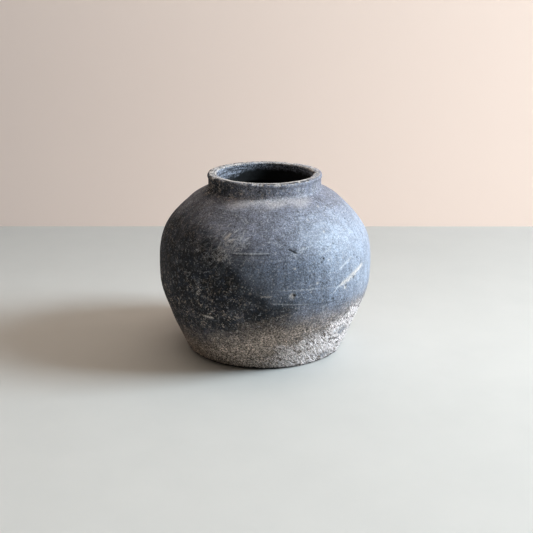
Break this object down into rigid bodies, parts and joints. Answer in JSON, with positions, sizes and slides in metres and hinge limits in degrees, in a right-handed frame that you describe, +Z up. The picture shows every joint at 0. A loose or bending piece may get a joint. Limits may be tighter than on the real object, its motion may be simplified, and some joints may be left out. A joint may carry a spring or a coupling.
{
  "type": "clay jar",
  "caption": "Squat round-bellied unglazed black clay jar with a flat foot, steep shoulder, short upright neck and rolled lip, open at the top.",
  "frame": {"origin": "centre of the foot's underside, on the surface the jar stands on", "axes": "+Z up along the jar's axis of revolution; -Y faces the viewer, +X to the viewer's right"},
  "size_m": [0.1802, 0.1802, 0.149],
  "materials": {
    "smoked_clay": "smoke-blackened, lightly burnished, satin where rubbed",
    "bare_clay": "coarse unglazed grey-brown clay with chalky deposit, matt",
    "worn_clay": "smoked clay worn through to pale body along the edge, matt"
  },
  "bodies": {
    "root": {"floor_disc": "bare_clay", "foot_wall": "bare_clay", "lower_belly": "smoked_clay", "upper_belly": "smoked_clay", "shoulder": "smoked_clay", "neck_collar": "smoked_clay", "rolled_lip": "worn_clay"}
  },
  "joints": []
}
